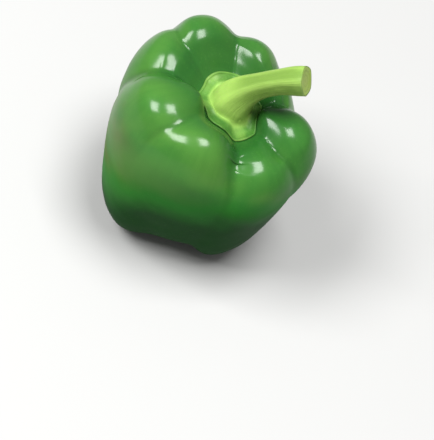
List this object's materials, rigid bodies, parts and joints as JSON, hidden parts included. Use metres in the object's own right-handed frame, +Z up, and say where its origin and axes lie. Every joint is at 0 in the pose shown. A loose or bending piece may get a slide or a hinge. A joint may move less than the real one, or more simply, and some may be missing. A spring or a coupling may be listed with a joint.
{
  "type": "bell pepper",
  "caption": "Green bell pepper, blocky and ribbed, standing on its blossom-end lobes, with a calyx in the stem cavity and a thick stem that bends to one side.",
  "frame": {"origin": "bottom centre of the box round the pepper, at the height of the feet that it stands on", "axes": "+Z up along the fruit's own axis; the stem bends towards +X; -Y is the side that the picture shows"},
  "size_m": [0.0858, 0.0816, 0.1132],
  "materials": {
    "skin": "waxy gloss",
    "stem": "satin"
  },
  "bodies": {
    "root": {"fruit": "skin", "stem_with_calyx": "stem"}
  },
  "joints": []
}
